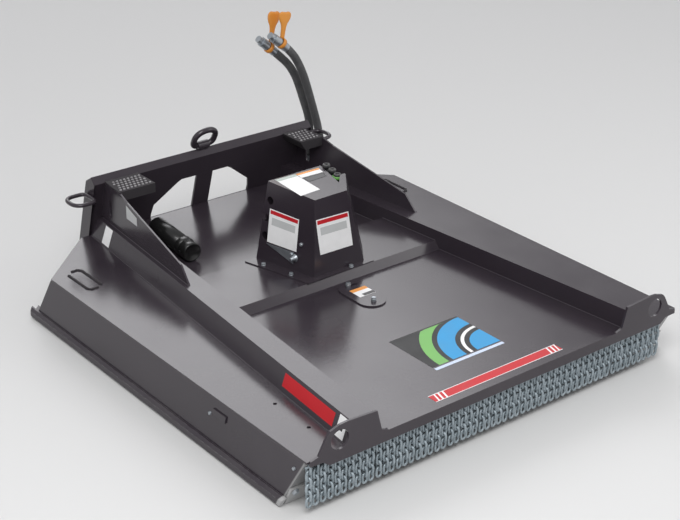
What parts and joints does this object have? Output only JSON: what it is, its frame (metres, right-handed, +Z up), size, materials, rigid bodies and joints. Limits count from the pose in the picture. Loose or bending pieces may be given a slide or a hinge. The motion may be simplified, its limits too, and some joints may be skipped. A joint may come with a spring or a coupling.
{
  "type": "skid steer brush cutter",
  "caption": "Rotary brush cutter deck with hat rails, chain curtains, hydraulic motor cover and a universal skid steer coupler plate with hook and lock slots.",
  "frame": {"origin": "on the ground, under the middle of the rigid machine's box", "axes": "+X to the machine's right seen from behind the chains looking to the carrier, +Y towards the carrying machine, +Z up"},
  "size_m": [2.0074, 2.2438, 1.0799],
  "materials": {
    "charcoal_paint": "satin",
    "chain_steel": "zinc plated",
    "zinc_steel": "zinc plated",
    "blade_steel": "ground",
    "motor_iron": "painted",
    "hose_sleeve": "matte",
    "orange_cap": "matte",
    "black_plastic": "moulded"
  },
  "bodies": {
    "machine": {"access_bolts": "zinc_steel", "deck_plate": "charcoal_paint", "front_chains": "chain_steel", "front_plate": "charcoal_paint", "hose_bracket": "charcoal_paint", "hose_fittings": "zinc_steel", "hydraulic_motor": "motor_iron", "left_corner_skirt": "charcoal_paint", "left_gusset": "charcoal_paint", "left_mount_end": "charcoal_paint", "left_rail": "charcoal_paint", "left_runner": "charcoal_paint", "left_side_skirt": "charcoal_paint", "left_step": "charcoal_paint", "left_tie_loop": "charcoal_paint", "manual_tube": "black_plastic", "motor_cover": "charcoal_paint", "motor_platform": "charcoal_paint", "mount_beam": "charcoal_paint", "mount_plate": "charcoal_paint", "mount_sill": "charcoal_paint", "pressure_cap": "orange_cap", "pressure_coupler": "zinc_steel", "pressure_hose": "hose_sleeve", "rear_chains": "chain_steel", "return_cap": "orange_cap", "return_coupler": "zinc_steel", "return_hose": "hose_sleeve", "right_corner_skirt": "charcoal_paint", "right_gusset": "charcoal_paint", "right_mount_end": "charcoal_paint", "right_rail": "charcoal_paint", "right_runner": "charcoal_paint", "right_side_skirt": "charcoal_paint", "right_step": "charcoal_paint", "right_tie_loop": "charcoal_paint", "ring_clip": "charcoal_paint", "spindle_housing": "charcoal_paint", "tube_cap": "black_plastic"},
    "rotor": {"blade_carrier": "charcoal_paint", "blade_bolts": "blade_steel"},
    "blade_1": {"blade_1": "blade_steel"},
    "blade_2": {"blade_2": "blade_steel"},
    "blade_3": {"blade_3": "blade_steel"},
    "access_cover": {"access_cover": "charcoal_paint"},
    "lift_ring": {"lift_ring": "charcoal_paint"}
  },
  "joints": [
    {"name": "rotor_spin", "type": "hinge", "parent": "machine", "child": "rotor", "pos_m": [0, 0.06277, 0.085], "axis": [0, 0, 1], "continuous": true},
    {"name": "blade_1_swing", "type": "hinge", "parent": "rotor", "child": "blade_1", "pos_m": [0, -0.22023, 0.068], "axis": [0, 0, 1], "range_deg": [-65, 65]},
    {"name": "blade_2_swing", "type": "hinge", "parent": "rotor", "child": "blade_2", "pos_m": [0.24508, 0.20427, 0.068], "axis": [0, 0, 1], "range_deg": [-65, 65]},
    {"name": "blade_3_swing", "type": "hinge", "parent": "rotor", "child": "blade_3", "pos_m": [-0.24508, 0.20427, 0.068], "axis": [0, 0, 1], "range_deg": [-65, 65]},
    {"name": "access_cover_swing", "type": "hinge", "parent": "machine", "child": "access_cover", "pos_m": [0, -0.29724, 0.238], "axis": [0, 0, 1], "range_deg": [0, 120]},
    {"name": "lift_ring_swing", "type": "hinge", "parent": "machine", "child": "lift_ring", "pos_m": [-0.011, 0.95576, 0.553], "axis": [1, 0, 0], "range_deg": [-133, 77]}
  ]
}
